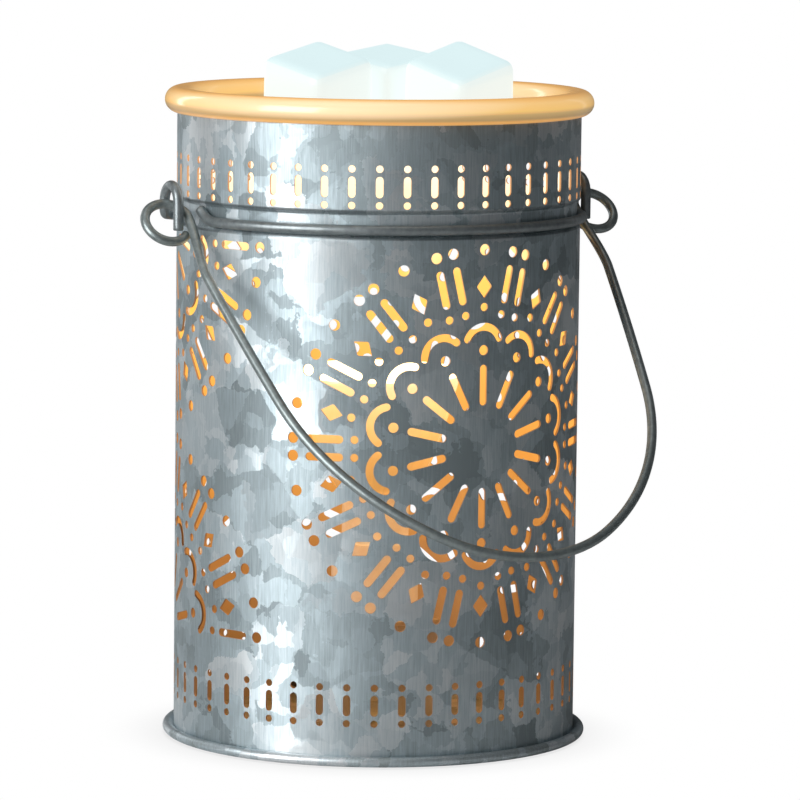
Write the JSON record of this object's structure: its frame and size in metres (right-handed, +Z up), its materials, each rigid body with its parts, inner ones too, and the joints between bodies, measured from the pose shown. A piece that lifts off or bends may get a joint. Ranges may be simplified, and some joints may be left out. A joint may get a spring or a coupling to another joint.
{
  "type": "candle warmer lamp",
  "caption": "Punched tin lantern wax warmer: pierced cylinder shell on a base pan, glass melting dish with wax cubes, wire bail in ear loops and a reflector bulb inside.",
  "frame": {"origin": "middle of the footprint, on the table under the feet", "axes": "+Z up; the bail turns about X, and the full rosette and the bail as it rests face -Y"},
  "size_m": [0.1568, 0.1694, 0.2082],
  "materials": {
    "galvanised": "spangled galvanised tin",
    "wire": "grey galvanised wire",
    "dish_glass": "frosted, glowing amber",
    "wax": "satin wax",
    "bulb_glass": "clear and faceted",
    "ceramic": "glazed ceramic",
    "brass": "plain",
    "steel": "zinc plated",
    "rubber": "matt black"
  },
  "bodies": {
    "lantern": {"shell": "galvanised", "base_pan": "galvanised", "foot_pads": "rubber", "base_screws": "steel", "base_nuts": "steel", "front_band": "wire", "rear_band": "wire", "lampholder": "ceramic", "lampholder_contacts": "brass", "holder_bracket": "steel", "holder_screws": "steel", "holder_nuts": "steel", "bracket_rivets": "steel", "cord_bushing": "rubber"},
    "bail": {"bail_handle": "wire"},
    "dish": {"glass_dish": "dish_glass", "wax_cubes": "wax"},
    "bulb": {"bulb_reflector": "bulb_glass", "bulb_lens": "bulb_glass", "bulb_capsule": "bulb_glass", "bulb_base": "ceramic", "bulb_pins": "brass"}
  },
  "joints": [
    {"name": "bail_swing", "type": "hinge", "parent": "lantern", "child": "bail", "pos_m": [0, 0, 0.161], "axis": [1, 0, 0], "range_deg": [-215, 21.5]},
    {"name": "dish_lift", "type": "slide", "parent": "lantern", "child": "dish", "axis": [0, 0, 1], "range_m": [0, 0.04]},
    {"name": "bulb_twist", "type": "hinge", "parent": "lantern", "child": "bulb", "pos_m": [0, 0, 0.058], "axis": [0, 0, 1], "range_deg": [0, 20]}
  ]
}
